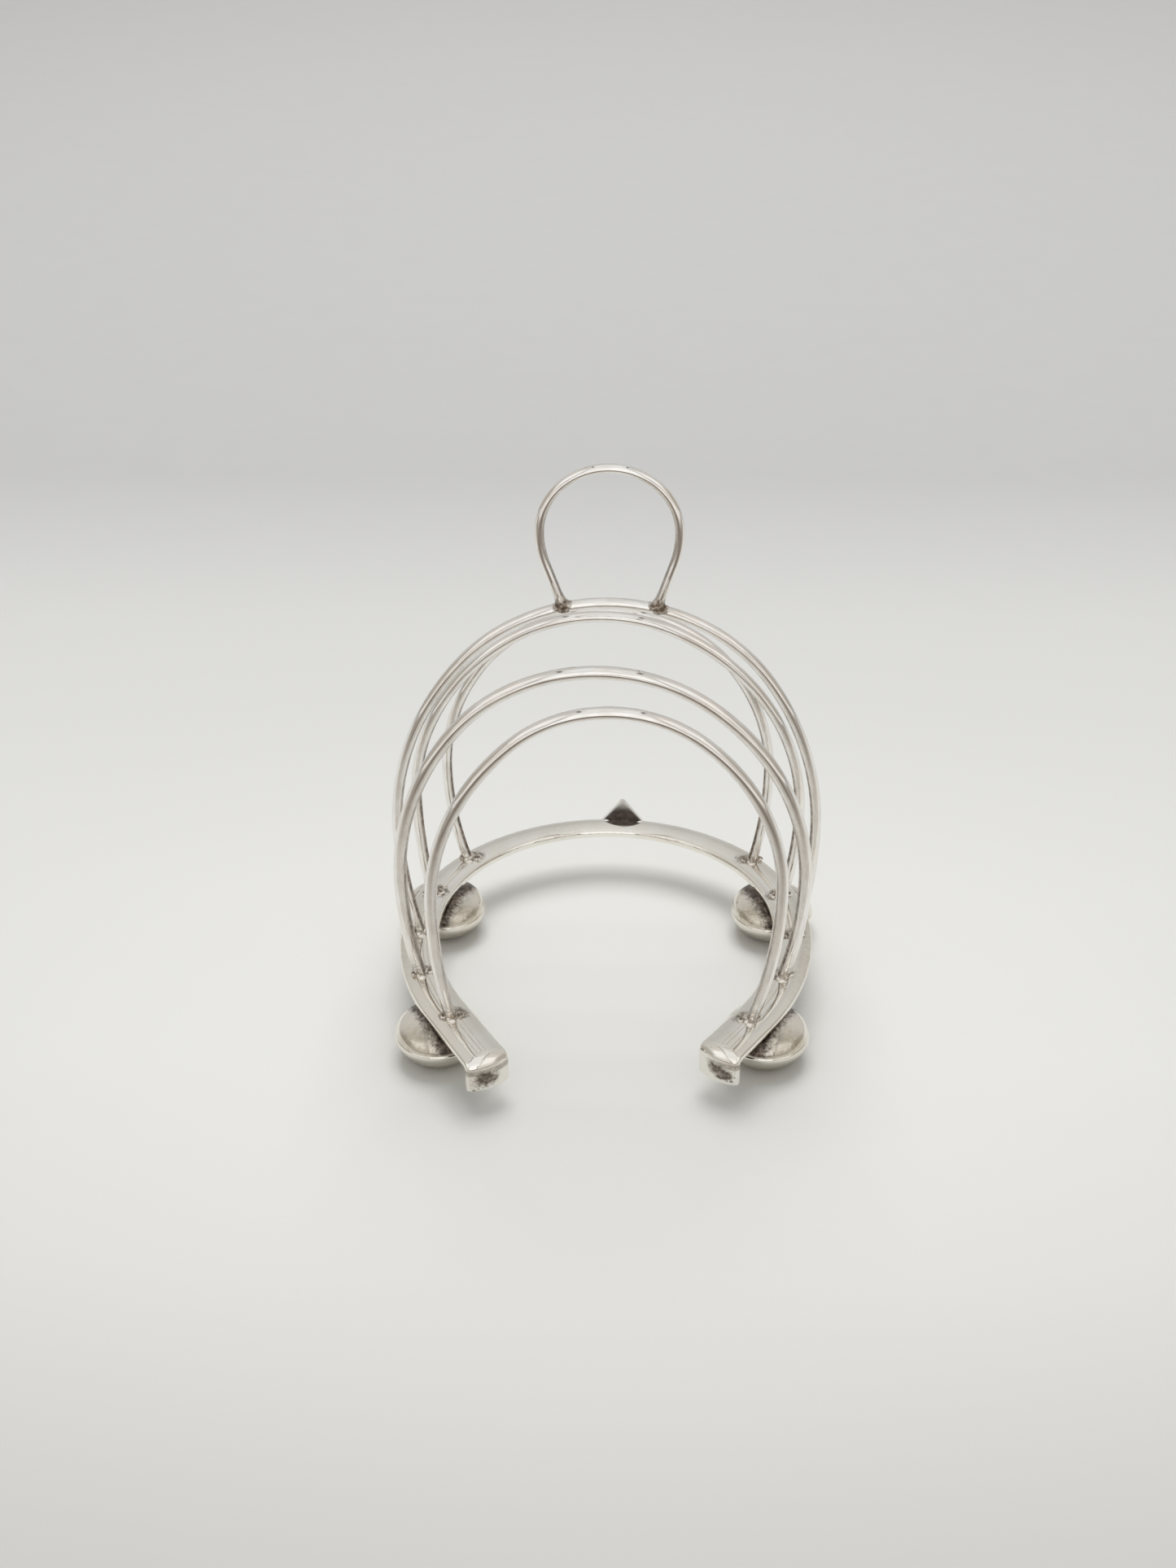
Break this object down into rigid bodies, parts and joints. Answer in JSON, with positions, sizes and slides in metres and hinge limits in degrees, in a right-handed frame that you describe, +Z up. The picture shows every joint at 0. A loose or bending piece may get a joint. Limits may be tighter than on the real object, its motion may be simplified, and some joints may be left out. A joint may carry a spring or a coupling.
{
  "type": "toast rack",
  "caption": "Silver-plated toast rack: wire hoops stand across a flat horseshoe on round bun feet, with a finger ring on the tallest hoop to carry it.",
  "frame": {"origin": "middle of the footprint at table level, bottom centre of the bounding box", "axes": "+Z up, +Y from the open end of the horseshoe towards its toe, +X to the right when seen from the open end"},
  "size_m": [0.1124, 0.1116, 0.1496],
  "materials": {
    "horseshoe_plate": "polished silver plate, lightly rubbed, with brown tarnish near the joints",
    "wire_plate": "polished silver-plated wire",
    "bun_feet": "polished silver plate, slightly pitted",
    "solder": "plated solder, tarnished brown in the corners"
  },
  "bodies": {
    "root": {"horseshoe_base": "horseshoe_plate", "toe_clip": "horseshoe_plate", "rear_hoop": "wire_plate", "mid_rear_hoop": "wire_plate", "centre_hoop": "wire_plate", "mid_front_hoop": "wire_plate", "front_hoop": "wire_plate", "carrying_handle": "wire_plate", "foot_front_left": "bun_feet", "foot_front_right": "bun_feet", "foot_rear_left": "bun_feet", "foot_rear_right": "bun_feet", "rear_hoop_solder": "solder", "mid_rear_hoop_solder": "solder", "centre_hoop_solder": "solder", "mid_front_hoop_solder": "solder", "front_hoop_solder": "solder", "handle_solder": "solder", "toe_clip_solder": "solder"}
  },
  "joints": []
}
